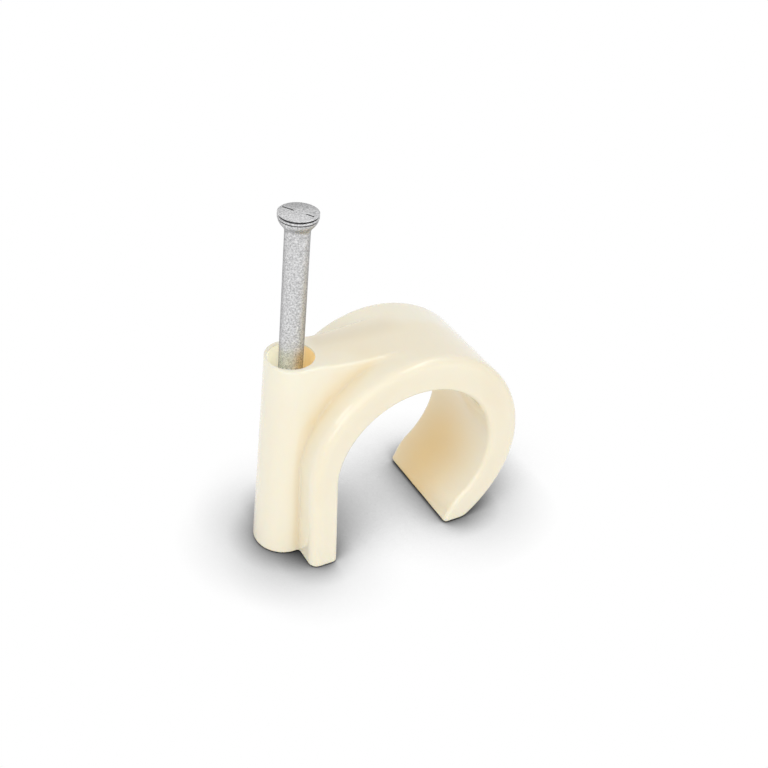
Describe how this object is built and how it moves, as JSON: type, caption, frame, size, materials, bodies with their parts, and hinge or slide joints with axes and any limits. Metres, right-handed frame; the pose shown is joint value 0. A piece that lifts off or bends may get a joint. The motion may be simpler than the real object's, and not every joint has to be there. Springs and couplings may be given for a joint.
{
  "type": "nail-in cable clip",
  "caption": "Moulded clip that wraps a round cable on a wall, with a steel nail standing in its guide boss.",
  "frame": {"origin": "on the wall face, below the middle of the part's bounding box", "axes": "+Z away from the wall, +Y along the cable, +X from the nail boss to the hook"},
  "size_m": [0.023, 0.0106, 0.0315],
  "materials": {
    "clip_plastic": "cream moulded plastic, satin gloss",
    "nail_steel": "zinc-plated steel, fine grey grain"
  },
  "bodies": {
    "clip": {"clip_body": "clip_plastic"},
    "nail": {"nail": "nail_steel"}
  },
  "joints": [
    {"name": "nail_drive", "type": "slide", "parent": "clip", "child": "nail", "axis": [-0.0314, 0, -0.9995], "range_m": [0, 0.0137]}
  ]
}
